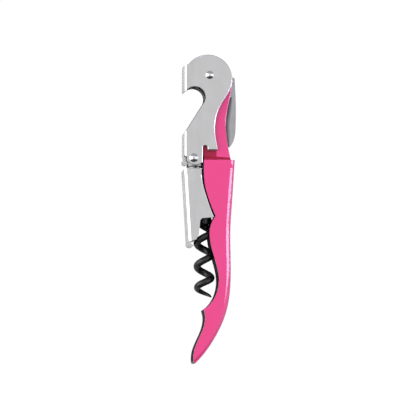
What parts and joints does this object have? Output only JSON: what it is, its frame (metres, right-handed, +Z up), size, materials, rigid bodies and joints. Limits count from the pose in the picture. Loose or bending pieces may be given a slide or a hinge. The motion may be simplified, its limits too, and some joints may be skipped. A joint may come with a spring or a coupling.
{
  "type": "lever corkscrew",
  "caption": "Double-hinged lever corkscrew, closed: pink folded-steel handle, chrome two-step lever with a crown-cap bite, black wire worm and a folding foil knife.",
  "frame": {"origin": "centre of the bottom face of the closed tool's box, the tool lying on its side", "axes": "+Y along the tool to the head end, +Z up through its thickness and parallel to every pivot, +X to the back of the handle"},
  "size_m": [0.0212, 0.1198, 0.0137],
  "materials": {
    "pink_paint": "gloss enamel paint over folded steel, bare on the inside and the cut edges",
    "chrome": "satin-bright chrome plate",
    "rivet_steel": "bright plated domed rivet",
    "blade_steel": "ground and brushed",
    "black_coating": "black non-stick coating on steel, satin",
    "plain_steel": "plain machined steel"
  },
  "bodies": {
    "handle": {"handle_shell": "pink_paint", "main_rivet": "rivet_steel", "knife_bushing_front": "plain_steel", "knife_bushing_back": "plain_steel", "lever_washer_front": "plain_steel", "lever_washer_back": "plain_steel", "worm_pin": "plain_steel", "worm_washer_front": "plain_steel", "worm_washer_back": "plain_steel"},
    "upper_lever": {"head_lever": "chrome", "step_rivet": "rivet_steel", "step_spacer": "plain_steel", "step_washer_front": "plain_steel", "step_washer_back": "plain_steel"},
    "lower_lever": {"foot_lever": "chrome"},
    "knife": {"knife_blade": "blade_steel"},
    "screw": {"worm": "black_coating", "worm_hub": "black_coating"}
  },
  "joints": [
    {"name": "lever_swing", "type": "hinge", "parent": "handle", "child": "upper_lever", "pos_m": [-0.00015, 0.05204, 0.00687], "axis": [0, 0, -1], "range_deg": [0, 150]},
    {"name": "step_hinge", "type": "hinge", "parent": "upper_lever", "child": "lower_lever", "pos_m": [-0.00632, 0.01972, 0.00687], "axis": [0, 0, -1], "range_deg": [0, 60]},
    {"name": "worm_swing", "type": "hinge", "parent": "handle", "child": "screw", "pos_m": [-0.00065, 0.02574, 0.00687], "axis": [0, 0, -1], "range_deg": [0, 93]},
    {"name": "knife_swing", "type": "hinge", "parent": "handle", "child": "knife", "pos_m": [-0.00015, 0.05204, 0.00687], "axis": [0, 0, 1], "range_deg": [0, 145]}
  ],
  "couplings": [
    {"joint": "worm_swing", "follows": "lever_swing", "ratio": 0.62}
  ]
}
